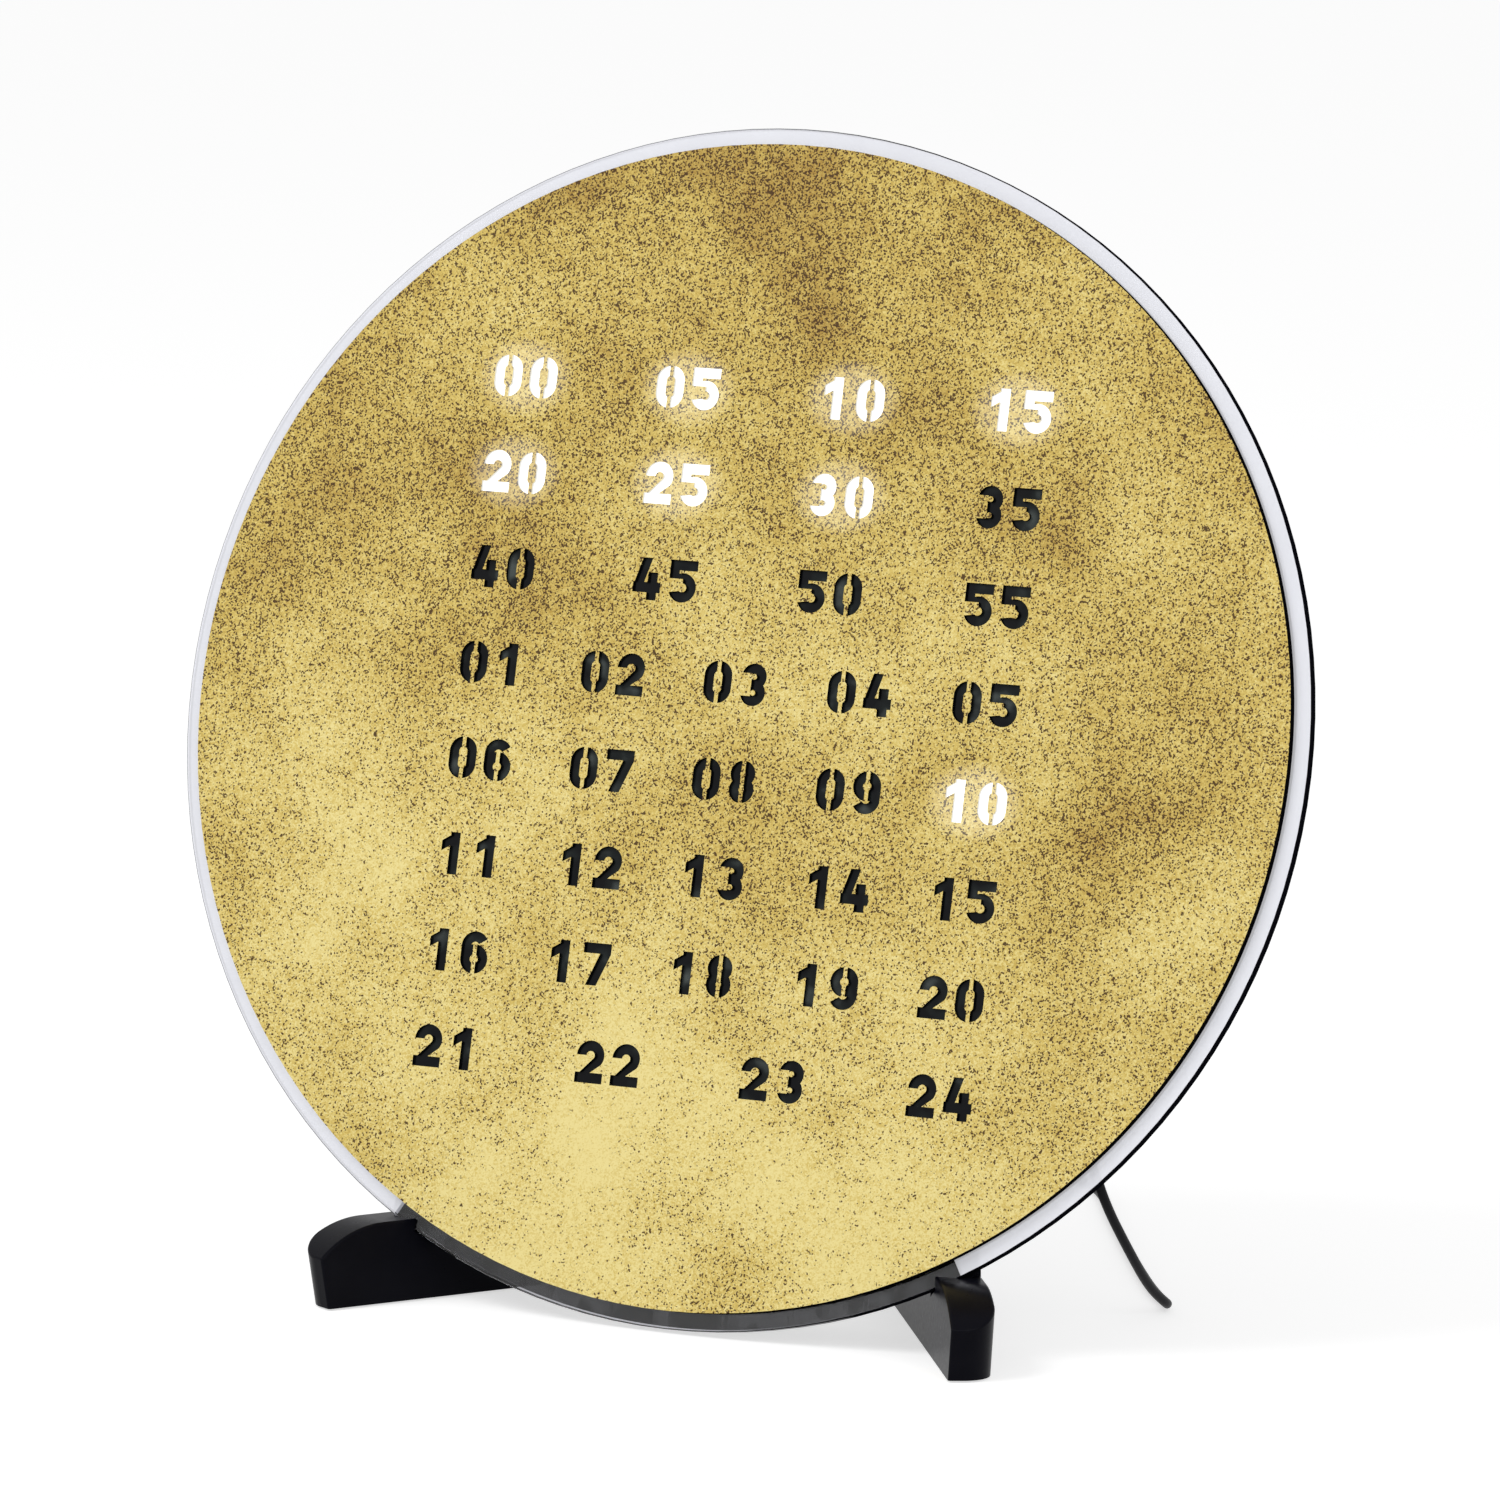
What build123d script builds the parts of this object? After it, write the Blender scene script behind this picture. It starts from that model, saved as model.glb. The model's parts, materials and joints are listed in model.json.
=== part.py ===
from build123d import *
import math
import os

# A round light-up number clock on two splayed feet.
# Millimetres, +Z up, the dial looks towards -Y and leans back. The table is z = 0.
# The dial pieces are drawn in the dial's own frame: u to the right, v up the dial,
# n out of the dial towards the reader, with n = 0 on the front plate's face.

# Dial stack, front to back
CARRIER_R = 150.0
CARRIER_T = 3.0
RIM_W = 4.5
PLATE_T = 1.0
FILM_T = 1.8
FILM_INSET = 1.0
CARRIER_CHAMFER = 0.3
LEAN = 13.0
TABLE_GAP = 0.5

# Numbers cut through the front plate
DIGIT_W = 7.4
DIGIT_H = 10.6
DIGIT_STROKE = 2.6
DIGIT_GAP = 2.2
STENCIL_BRIDGE = 1.0
ROW_TOP_INSET = 32.1
ROW_LOW_INSET = 28.5
ROW_CORNER_INSET = 8.85
MINUTE_STEP = 5
MINUTES_PER_ROW = 4
HOURS_PER_ROW = 5

# Light grid and light board behind the carrier
GRID_GAP = 4.5
GRID_T = 9.0
POCKET_MARGIN = 1.6
BOARD_INSET = 2.0
BOARD_T = 1.6
LED_SIZE = 3.0
LED_T = 1.2
BOARD_SCREW_INSET = 7.0
BOARD_SCREW_START = 22.5
BOARD_SCREW_COUNT = 8
BOARD_SCREW_D = 2.2
BOARD_SCREW_LEN = 6.0
BOARD_HEAD_D = 4.2
BOARD_HEAD_T = 1.4

# Housing: a round frame held on welded studs, closed by a screwed cover
HOUSING_INSET = 5.0
HOUSING_WALL = 2.5
HOUSING_DEPTH = 25.2
FLANGE_T = 3.5
FLANGE_MARGIN = 5.0
STUD_INSET = 16.5
STUD_COUNT = 6
STUD_START = 30.0
STUD_D = 3.0
STUD_LEN = 11.6
STUD_CLEAR = 0.3
NUT_AF = 5.5
NUT_T = 2.4
WASHER_D = 7.0
WASHER_T = 0.5
COVER_T = 2.5
COVER_ROUND = 1.2
COVER_SCREW_INSET = 3.0
COVER_SCREW_COUNT = 8
COVER_SCREW_D = 2.5
COVER_SCREW_LEN = 8.0
COVER_HEAD_D = 5.0
COVER_HEAD_T = 1.3
COVER_SINK = 1.5
COVER_BOSS_D = 7.0
COVER_BOSS_LEN = 10.0
HOLE_CLEAR = 0.2
CROSS_LEN = 2.6
CROSS_W = 0.7
CROSS_DEPTH = 0.7
VENT_COUNT = 9
VENT_LEN = 24.0
VENT_W = 2.4
VENT_PITCH = 7.0
VENT_V = 62.0
LABEL_W = 60.0
LABEL_H = 30.0
LABEL_DEPTH = 0.5
LABEL_U = -46.0
LABEL_V = -38.0

# Controller board, turned so that its outer edge faces the cord's side of the housing
CONTROL_ANGLE = -40.0
CONTROL_INSET = 23.0
CONTROL_W = 60.0
CONTROL_H = 44.0
CONTROL_T = 1.6
SPACER_T = 3.0
SPACER_D = 5.0
SPACER_INSET = 3.5
CONTROL_SCREW_D = 2.0
CONTROL_HEAD_D = 3.8
CONTROL_HEAD_T = 1.3
HEADER_W = 14.0
HEADER_H = 5.0
CHIP_SIZE = 9.0
CHIP_T = 1.4
CHIP_AT = (-9.0, -9.0)
CRYSTAL_LEN = 6.0
CRYSTAL_D = 2.0
CRYSTAL_AT = (-9.0, 4.0)

# Coin cell and its twist-off door
CELL_R = 10.0
CELL_T = 3.2
HOLDER_WALL = 1.6
HOLDER_FLOOR = 1.0
HOLDER_LIP = 0.9
CELL_AT = (14.0, -6.0)
CELL_CLEAR = 0.2
DOOR_R = 13.0
DOOR_T = 1.3
DOOR_HUB_R = 11.0
DOOR_CLEAR = 0.3
DOOR_LUG_T = 1.2
DOOR_LUG_REACH = 1.8
DOOR_LUG_ANGLE = 30.0
DOOR_OPEN_TURN = 40.0
DOOR_SLOT_LEN = 14.0
DOOR_SLOT_W = 1.8
DOOR_SLOT_DEPTH = 0.7

# Three set buttons over push switches
BUTTON_PITCH = 14.0
BUTTON_ROW = -20.0
BUTTON_R = 3.0
BUTTON_CLEAR = 0.3
BUTTON_PROUD = 1.6
BUTTON_COLLAR = 1.2
BUTTON_COLLAR_T = 1.2
BUTTON_CROWN = 0.5
BUTTON_TRAVEL = 0.8
SWITCH_SIZE = 6.0
SWITCH_T = 4.0
PLUNGER_R = 1.7
PLUNGER_PROUD = 1.2
PLUNGER_CLEAR = 0.1

# Power socket facing the rear, the angled plug in it and the lead
SOCKET_SIZE = 9.0
SOCKET_FLOOR = 0.8
SOCKET_AT = (-7.0, 14.5)
BARREL_R = 2.75
BARREL_END_GAP = 0.4
BARREL_CLEAR = 0.05
PLUG_TURN = -80.0
PLUG_R = 4.4
PLUG_NECK_R = 3.6
PLUG_NECK_H = 0.8
PLUG_GAP = 0.3
PLUG_BACK_LEN = 5.0
PLUG_LEN = 10.0
RELIEF_LEN = 9.0
RELIEF_R = 3.0
RELIEF_TIP = 1.6
CORD_D = 2.5
CORD_FIRST_RUN = 10.0
CORD_LAST_RUN = 14.0
CORD_ROUTE = [
    (95.0, 17.3, 38.6),
    (96.1, 22.8, 31.0),
    (97.0, 29.8, 23.8),
    (97.6, 36.9, 17.3),
    (97.8, 44.0, 11.6),
    (98.2, 51.5, 6.4),
    (99.6, 60.5, 1.25),
    (89.4, 76.0, 1.25),
    (73.0, 107.6, 1.25),
    (56.8, 140.4, 1.25),
    (42.0, 170.9, 1.25),
    (27.0, 203.4, 1.25),
    (13.5, 216.5, 1.3),
    (-4.5, 222.8, 1.8),
]
COIL_AT = (-41.0, 204.6)
COIL_START = 90.0
COIL_LIFT = 0.9
COIL_OUTER_R = 21.0
COIL_GAP = 0.45
COIL_TURNS_IN = 4.25
COIL_TURNS_OUT = 3.75
COIL_STEPS_PER_TURN = 4
TIE_T = 0.6
TIE_W = 6.0
TIE_CLEAR = 0.15
TIE_ANGLE = 190.0
TAIL_RUN = 8.0
USB_AT = (-72.0, 220.6)
USB_LEN = 24.0
USB_W = 15.0
USB_T = 8.0
USB_ROUND = 2.0
SHELL_W = 12.0
SHELL_T = 4.5
SHELL_LEN = 18.0
SHELL_WALL = 0.4

# Stand: a smoked arc rail behind the carrier's lower rim, and two slotted feet
RAIL_T = 3.0
RAIL_W = 11.8
RAIL_INSET = 0.7
RAIL_HALF_ANGLE = 30.5
FOOT_ANGLE = 29.7
FOOT_SPLAY = 30.0
FOOT_W = 11.5
FOOT_GRIP = 1.3
FOOT_TOE = 26.3
FOOT_NOSE = 19.0
FOOT_WALL_H = 13.4
FOOT_OVERHANG = 2.6
FOOT_TAIL = 94.0
FOOT_TAIL_H = 9.0
FOOT_EDGE = 0.7
FOOT_CORNER = 8.0
FOOT_SLOT_CLEAR = 0.3
EAR_RISE = 7.6
EAR_LEN = 11.0
EAR_BACK = 28.0
FOOT_SCREW_ANGLE = 28.6
FOOT_SCREW_D = 2.0
FOOT_SCREW_GRIP = 2.0
FOOT_SCREW_HOLD = 3.6
FOOT_HEAD_D = 3.8
FOOT_HEAD_T = 1.4
PAD_W = 7.0
PAD_LEN = 14.0
PAD_T = 1.2
PAD_PROUD = 0.5
PAD_INSET = 6.0
PAD_CLEAR = 0.2

# Radii, each from the one outside it
PLATE_R = CARRIER_R - RIM_W
STUD_R = PLATE_R - STUD_INSET
HOUSING_R = STUD_R - HOUSING_INSET
HOUSING_INNER = HOUSING_R - HOUSING_WALL
COVER_SCREW_R = HOUSING_INNER - COVER_SCREW_INSET
GRID_R = HOUSING_INNER - GRID_GAP
BOARD_R = GRID_R - BOARD_INSET
BOARD_SCREW_R = BOARD_R - BOARD_SCREW_INSET
CONTROL_R = BOARD_R - CONTROL_INSET

# Rows of numbers, kept inside the light board's edge
MINUTES = list(range(0, 60, MINUTE_STEP))
HOURS = list(range(1, 25))
ROWS = [MINUTES[i : i + MINUTES_PER_ROW] for i in range(0, len(MINUTES), MINUTES_PER_ROW)]
ROWS += [HOURS[i : i + HOURS_PER_ROW] for i in range(0, len(HOURS), HOURS_PER_ROW)]
ROW_COUNT_V = BOARD_R - ROW_TOP_INSET
ROW_PITCH = (ROW_COUNT_V + BOARD_R - ROW_LOW_INSET) / (len(ROWS) - 1)
ROW_SPAN = 2 * math.sqrt((BOARD_R - ROW_CORNER_INSET) ** 2 - ROW_COUNT_V ** 2)

# Levels down the dial stack
FILM_BACK = -PLATE_T - FILM_T
CARRIER_BACK = FILM_BACK - CARRIER_T
GRID_BACK = CARRIER_BACK - GRID_T
BOARD_BACK = GRID_BACK - BOARD_T
CONTROL_FRONT = BOARD_BACK - SPACER_T
CONTROL_BACK = CONTROL_FRONT - CONTROL_T
FLANGE_BACK = CARRIER_BACK - FLANGE_T
COVER_FRONT = CARRIER_BACK - HOUSING_DEPTH
COVER_BACK = COVER_FRONT - COVER_T
RAIL_BACK = CARRIER_BACK - RAIL_T
RAIL_R = CARRIER_R - RAIL_INSET
PLUG_LEVEL = COVER_BACK - PLUG_GAP - PLUG_NECK_H - PLUG_R

# Dial frame in the world
LEAN_SIN = math.sin(math.radians(LEAN))
LEAN_COS = math.cos(math.radians(LEAN))
CARRIER_LOW = CARRIER_R * LEAN_COS - CARRIER_BACK * LEAN_SIN
RAIL_LOW = RAIL_R * LEAN_COS - RAIL_BACK * LEAN_SIN
DIAL_HEIGHT = max(CARRIER_LOW, RAIL_LOW) + TABLE_GAP
DIAL = Plane(origin=(0, 0, DIAL_HEIGHT), x_dir=(1, 0, 0), z_dir=(0, -LEAN_COS, LEAN_SIN))

UP = (Align.CENTER, Align.CENTER, Align.MIN)


def save(shape, node):
    export_step(shape, f"parts/{node}.step")


def to_world(shape):
    return DIAL.location * shape


def world_point(u, v, n):
    return DIAL.from_local_coords(Vector(u, v, n))


def polar(radius, degrees):
    return radius * math.cos(math.radians(degrees)), radius * math.sin(math.radians(degrees))


def ring_points(radius, count, start):
    return [polar(radius, start + 360.0 * i / count) for i in range(count)]


def rod(radius, low, high, at=(0, 0)):
    return Pos(at[0], at[1], low) * Cylinder(radius, high - low, align=UP)


def block(width, height, low, high, at=(0, 0)):
    return Pos(at[0], at[1], low) * Box(width, height, high - low, align=UP)


def group(solids):
    return Compound([solid for piece in solids for solid in piece.solids()])


# Stencil digits: plain strokes, with bridges that hold the closed counters
def ring(outer, at=(0, 0)):
    return Pos(*at) * (Circle(outer) - Circle(outer - DIGIT_STROKE))


def stencil_bar(top, bottom):
    return Pos(0, (top + bottom) / 2) * Rectangle(STENCIL_BRIDGE, top - bottom)


def digit_zero():
    outer = SlotOverall(DIGIT_H, DIGIT_W, rotation=90)
    inner = SlotOverall(DIGIT_H - 2 * DIGIT_STROKE, DIGIT_W - 2 * DIGIT_STROKE, rotation=90)
    return outer - inner - stencil_bar(DIGIT_H, -DIGIT_H)


def digit_one():
    stem_left = -DIGIT_STROKE / 2 + DIGIT_W * 0.1
    stem = Pos(stem_left + DIGIT_STROKE / 2, 0) * Rectangle(DIGIT_STROKE, DIGIT_H)
    top = DIGIT_H / 2
    reach = DIGIT_W * 0.3
    flag = Polygon(
        (stem_left + DIGIT_STROKE / 2, top),
        (stem_left - reach, top - reach),
        (stem_left - reach, top - reach - DIGIT_STROKE),
        (stem_left + DIGIT_STROKE / 2, top - DIGIT_STROKE),
        align=None,
    )
    return stem + flag


def digit_two():
    radius = DIGIT_W / 2
    centre = DIGIT_H / 2 - radius
    end_out = polar(radius, -35)
    end_in = polar(radius - DIGIT_STROKE, -35)
    base_top = -DIGIT_H / 2 + DIGIT_STROKE
    bow = ring(radius, (0, centre))
    left_cut = Polygon((-DIGIT_W, centre), (0, centre), (0, -DIGIT_H), (-DIGIT_W, -DIGIT_H), align=None)
    low_cut = Polygon(
        (0, centre),
        (DIGIT_W * math.cos(math.radians(35)), centre - DIGIT_W * math.sin(math.radians(35))),
        (DIGIT_W, -DIGIT_H),
        (0, -DIGIT_H),
        align=None,
    )
    leg = Polygon(
        (end_in[0], centre + end_in[1]),
        (-radius, base_top - DIGIT_STROKE / 2),
        (-radius, -DIGIT_H / 2),
        (DIGIT_STROKE * 0.1, base_top),
        (end_out[0], centre + end_out[1]),
        align=None,
    )
    base = Pos(0, -DIGIT_H / 2 + DIGIT_STROKE / 2) * Rectangle(DIGIT_W, DIGIT_STROKE)
    return bow - left_cut - low_cut + leg + base


def double_bow():
    radius = (DIGIT_H + DIGIT_STROKE) / 4
    offset = DIGIT_H / 2 - radius
    return ring(radius, (0, offset)) + ring(radius, (0, -offset))


def digit_three():
    bite_right = -DIGIT_STROKE * 0.25
    bite_half = DIGIT_H * 0.27
    bite = Polygon(
        (-DIGIT_W, bite_half),
        (-DIGIT_W, -bite_half),
        (bite_right, -bite_half),
        (bite_right, bite_half),
        align=None,
    )
    return double_bow() - bite


def digit_four():
    stem_at = DIGIT_W * 0.2
    stem_top = DIGIT_H * 0.16
    bar_at = -DIGIT_H * 0.2
    left = -DIGIT_W / 2
    stem = Pos(stem_at, (stem_top - DIGIT_H / 2) / 2) * Rectangle(DIGIT_STROKE, stem_top + DIGIT_H / 2)
    bar = Pos(0, bar_at) * Rectangle(DIGIT_W, DIGIT_STROKE)
    lean = DIGIT_W * 0.28
    arm = Polygon(
        (left + lean, DIGIT_H / 2),
        (left, bar_at),
        (left + DIGIT_STROKE, bar_at),
        (left + lean + DIGIT_STROKE, DIGIT_H / 2),
        align=None,
    )
    return stem + bar + arm


def digit_five():
    radius = DIGIT_W / 2
    centre = -DIGIT_H / 2 + radius
    top = Pos(0, DIGIT_H / 2 - DIGIT_STROKE / 2) * Rectangle(DIGIT_W, DIGIT_STROKE)
    arm_low = centre + radius * 0.6
    arm = Pos(-radius + DIGIT_STROKE / 2, (DIGIT_H / 2 + arm_low) / 2) * Rectangle(
        DIGIT_STROKE, DIGIT_H / 2 - arm_low
    )
    bite = Polygon(
        (-DIGIT_W, arm_low),
        (-DIGIT_W, centre - radius * 0.5),
        (0, centre - radius * 0.2),
        (0, arm_low),
        align=None,
    )
    return ring(radius, (0, centre)) - bite + top + arm


def digit_six():
    radius = DIGIT_W / 2
    low = -DIGIT_H / 2 + radius
    high = DIGIT_H / 2 - radius
    bow = ring(radius, (0, high)) - Polygon(
        (-DIGIT_W, high),
        (-DIGIT_W, -DIGIT_H),
        (DIGIT_W, -DIGIT_H),
        (DIGIT_W, high + DIGIT_W * 0.62),
        (0, high),
        align=None,
    )
    side = Pos(-radius + DIGIT_STROKE / 2, 0) * Rectangle(DIGIT_STROKE, high - low)
    return ring(radius, (0, low)) - stencil_bar(low + radius, -DIGIT_H) + bow + side


def digit_seven():
    top = Pos(0, DIGIT_H / 2 - DIGIT_STROKE / 2) * Rectangle(DIGIT_W, DIGIT_STROKE)
    under = DIGIT_H / 2 - DIGIT_STROKE
    foot = -DIGIT_W * 0.32
    slant = DIGIT_STROKE * 1.12
    leg = Polygon(
        (DIGIT_W / 2 - slant, under),
        (foot, -DIGIT_H / 2),
        (foot + slant, -DIGIT_H / 2),
        (DIGIT_W / 2, under),
        align=None,
    )
    return top + leg


def digit_eight():
    return double_bow() - stencil_bar(DIGIT_H, -DIGIT_H)


def digit_nine():
    return Rot(0, 0, 180) * digit_six()


DIGITS = [
    digit_zero(),
    digit_one(),
    digit_two(),
    digit_three(),
    digit_four(),
    digit_five(),
    digit_six(),
    digit_seven(),
    digit_eight(),
    digit_nine(),
]


def number_places():
    places = []
    for row, numbers in enumerate(ROWS):
        pitch = ROW_SPAN / (len(numbers) - 1)
        for column, number in enumerate(numbers):
            u = -ROW_SPAN / 2 + column * pitch
            places.append((number, u, ROW_COUNT_V - row * ROW_PITCH))
    return places


def digit_places():
    shift = (DIGIT_W + DIGIT_GAP) / 2
    places = []
    for number, u, v in number_places():
        places.append((number // 10, u - shift, v))
        places.append((number % 10, u + shift, v))
    return places


STUD_PLACES = ring_points(STUD_R, STUD_COUNT, STUD_START)
BOARD_SCREW_PLACES = ring_points(BOARD_SCREW_R, BOARD_SCREW_COUNT, BOARD_SCREW_START)
# Two cover screws straddle the controller board
COVER_SCREW_START = CONTROL_ANGLE + 360.0 / COVER_SCREW_COUNT / 2
COVER_SCREW_PLACES = ring_points(COVER_SCREW_R, COVER_SCREW_COUNT, COVER_SCREW_START)


# Dial stack
def front_plate():
    cuts = [Pos(u, v) * DIGITS[digit] for digit, u, v in digit_places()]
    return Pos(0, 0, -PLATE_T) * extrude(Circle(PLATE_R) - cuts, amount=PLATE_T)


def stud_holes(low, high):
    return [rod(STUD_D / 2 + STUD_CLEAR, low, high, at) for at in STUD_PLACES]


def smoked_film():
    film = rod(PLATE_R - FILM_INSET, FILM_BACK, -PLATE_T)
    return film - stud_holes(FILM_BACK, -PLATE_T)


def carrier_disc():
    disc = rod(CARRIER_R, CARRIER_BACK, FILM_BACK)
    disc = chamfer(disc.edges(), CARRIER_CHAMFER)
    return disc - stud_holes(CARRIER_BACK, FILM_BACK)


def plate_studs():
    return group(rod(STUD_D / 2, -PLATE_T - STUD_LEN, -PLATE_T, at) for at in STUD_PLACES)


def stud_washers():
    back = FLANGE_BACK - WASHER_T
    bore = STUD_D / 2 + HOLE_CLEAR
    return group(
        rod(WASHER_D / 2, back, FLANGE_BACK, at) - rod(bore, back, FLANGE_BACK, at) for at in STUD_PLACES
    )


def stud_nuts():
    hexagon = RegularPolygon(NUT_AF / 2, 6, major_radius=False)
    blank = extrude(hexagon - Circle(STUD_D / 2), amount=NUT_T)
    return group(Pos(u, v, FLANGE_BACK - WASHER_T - NUT_T) * blank for u, v in STUD_PLACES)


# Light grid, light board and lights
def light_grid():
    width = 2 * DIGIT_W + DIGIT_GAP + 2 * POCKET_MARGIN
    height = DIGIT_H + 2 * POCKET_MARGIN
    pockets = [block(width, height, GRID_BACK, CARRIER_BACK, (u, v)) for number, u, v in number_places()]
    pilots = [
        rod(BOARD_SCREW_D / 2, GRID_BACK, GRID_BACK + BOARD_SCREW_LEN, at) for at in BOARD_SCREW_PLACES
    ]
    return rod(GRID_R, GRID_BACK, CARRIER_BACK) - pockets - pilots


def led_board():
    holes = [
        rod(BOARD_SCREW_D / 2 + HOLE_CLEAR, BOARD_BACK, GRID_BACK, at) for at in BOARD_SCREW_PLACES
    ]
    return rod(BOARD_R, BOARD_BACK, GRID_BACK) - holes


def leds():
    front = GRID_BACK + LED_T
    return group(block(LED_SIZE, LED_SIZE, GRID_BACK, front, (u, v)) for digit, u, v in digit_places())


def pan_screw(shank_d, tip, seat, head_d, head_t, at):
    back = seat - head_t
    drive = [
        block(CROSS_LEN, CROSS_W, back, back + CROSS_DEPTH, at),
        block(CROSS_W, CROSS_LEN, back, back + CROSS_DEPTH, at),
    ]
    return rod(shank_d / 2, seat, tip, at) + rod(head_d / 2, back, seat, at) - drive


def board_screws():
    tip = GRID_BACK + BOARD_SCREW_LEN
    return group(
        pan_screw(BOARD_SCREW_D, tip, BOARD_BACK, BOARD_HEAD_D, BOARD_HEAD_T, at) for at in BOARD_SCREW_PLACES
    )


# Controller board and what it carries, placed in the turned controller frame
def on_control(x, y):
    along = polar(1.0, CONTROL_ANGLE)
    across = (-along[1], along[0])
    reach = CONTROL_R + y
    return reach * along[0] - x * across[0], reach * along[1] - x * across[1]


def control_block(width, height, low, high, at):
    u, v = on_control(*at)
    return Pos(u, v, low) * Rot(0, 0, CONTROL_ANGLE + 90) * Box(width, height, high - low, align=UP)


def spacer_places():
    x = CONTROL_W / 2 - SPACER_INSET
    y = CONTROL_H / 2 - SPACER_INSET
    return [on_control(sx * x, sy * y) for sx in (-1, 1) for sy in (-1, 1)]


def controller_board():
    board = control_block(CONTROL_W, CONTROL_H, CONTROL_BACK, CONTROL_FRONT, (0, 0))
    holes = [
        rod(CONTROL_SCREW_D / 2 + HOLE_CLEAR, CONTROL_BACK, CONTROL_FRONT, at) for at in spacer_places()
    ]
    return board - holes


def controller_spacers():
    bore = CONTROL_SCREW_D / 2
    return group(
        rod(SPACER_D / 2, CONTROL_FRONT, BOARD_BACK, at) - rod(bore, CONTROL_FRONT, BOARD_BACK, at)
        for at in spacer_places()
    )


def controller_screws():
    return group(
        pan_screw(CONTROL_SCREW_D, BOARD_BACK, CONTROL_BACK, CONTROL_HEAD_D, CONTROL_HEAD_T, at)
        for at in spacer_places()
    )


def board_connector():
    return control_block(HEADER_W, HEADER_H, CONTROL_FRONT, BOARD_BACK, (0, 0))


def main_chip():
    return control_block(CHIP_SIZE, CHIP_SIZE, CONTROL_BACK - CHIP_T, CONTROL_BACK, CHIP_AT)


def clock_crystal():
    u, v = on_control(*CRYSTAL_AT)
    can = Rot(0, 0, CONTROL_ANGLE) * Rot(0, 90, 0) * Cylinder(CRYSTAL_D / 2, CRYSTAL_LEN)
    return Pos(u, v, CONTROL_BACK - CRYSTAL_D / 2) * can


# Coin cell, holder and twist-off door
CELL_PLACE = on_control(*CELL_AT)
SOCKET_PLACE = on_control(*SOCKET_AT)
HOLDER_R = CELL_R + CELL_CLEAR + HOLDER_WALL
CELL_FRONT = CONTROL_BACK - HOLDER_FLOOR
HOLDER_BACK = CELL_FRONT - CELL_T - HOLDER_LIP


def coin_holder():
    cup = rod(HOLDER_R, HOLDER_BACK, CONTROL_BACK, CELL_PLACE)
    return cup - rod(CELL_R + CELL_CLEAR, HOLDER_BACK, CELL_FRONT, CELL_PLACE)


def coin_cell():
    cell = rod(CELL_R, CELL_FRONT - CELL_T, CELL_FRONT, CELL_PLACE)
    return fillet(cell.edges(), CELL_T * 0.12)


DOOR_SEAT = COVER_BACK + DOOR_T
LUG_BACK = COVER_FRONT + DOOR_CLEAR
LUG_FRONT = LUG_BACK + DOOR_LUG_T


def lug_sectors(inner, outer, low, high, sweep, turn):
    wedge = Polygon(
        (0, 0),
        polar(2 * outer, -sweep / 2),
        polar(2 * outer, sweep / 2),
        align=None,
    )
    sector = extrude((Circle(outer) - Circle(inner)) & wedge, amount=high - low)
    return [
        Pos(CELL_PLACE[0], CELL_PLACE[1], low) * Rot(0, 0, turn + half) * sector for half in (0, 180)
    ]


def battery_door():
    u, v = CELL_PLACE
    face = rod(DOOR_R, COVER_BACK, DOOR_SEAT, CELL_PLACE)
    hub = rod(DOOR_HUB_R, DOOR_SEAT, LUG_FRONT, CELL_PLACE)
    reach = DOOR_HUB_R + DOOR_LUG_REACH
    lugs = lug_sectors(DOOR_HUB_R - DOOR_LUG_REACH, reach, LUG_BACK, LUG_FRONT, DOOR_LUG_ANGLE, 0)
    coin_slot = extrude(SlotOverall(DOOR_SLOT_LEN, DOOR_SLOT_W), amount=DOOR_SLOT_DEPTH)
    return face + hub + lugs - Pos(u, v, COVER_BACK) * Rot(0, 0, CONTROL_ANGLE) * coin_slot


def door_opening():
    through = rod(DOOR_HUB_R + DOOR_CLEAR, COVER_BACK, COVER_FRONT, CELL_PLACE)
    recess = rod(DOOR_R + DOOR_CLEAR, COVER_BACK, DOOR_SEAT, CELL_PLACE)
    reach = DOOR_HUB_R + DOOR_LUG_REACH + DOOR_CLEAR
    notch_sweep = DOOR_LUG_ANGLE * 1.2
    notches = lug_sectors(DOOR_HUB_R, reach, COVER_BACK, COVER_FRONT, notch_sweep, DOOR_OPEN_TURN)
    return [through, recess] + notches


# Set buttons over their switches
BUTTON_NAMES = ("set", "up", "down")
SWITCH_BACK = CONTROL_BACK - SWITCH_T
PLUNGER_BACK = SWITCH_BACK - PLUNGER_PROUD
BUTTON_BACK = COVER_BACK - BUTTON_PROUD


def button_place(index):
    return on_control(BUTTON_ROW, (index - 1) * BUTTON_PITCH)


def push_switches():
    bodies = []
    for index in range(len(BUTTON_NAMES)):
        body = control_block(
            SWITCH_SIZE, SWITCH_SIZE, SWITCH_BACK, CONTROL_BACK, (BUTTON_ROW, (index - 1) * BUTTON_PITCH)
        )
        well_front = SWITCH_BACK + 2 * BUTTON_TRAVEL
        bodies.append(body - rod(PLUNGER_R + PLUNGER_CLEAR, SWITCH_BACK, well_front, button_place(index)))
    return group(bodies)


def plunger(index):
    return rod(PLUNGER_R, PLUNGER_BACK, SWITCH_BACK + BUTTON_TRAVEL / 2, button_place(index))


def button(index):
    at = button_place(index)
    stem = rod(BUTTON_R, BUTTON_BACK, PLUNGER_BACK, at)
    stem = fillet(stem.edges().group_by(Axis.Z)[0], BUTTON_CROWN)
    collar_back = COVER_FRONT + DOOR_CLEAR
    return stem + rod(BUTTON_R + BUTTON_COLLAR, collar_back, collar_back + BUTTON_COLLAR_T, at)


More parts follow.
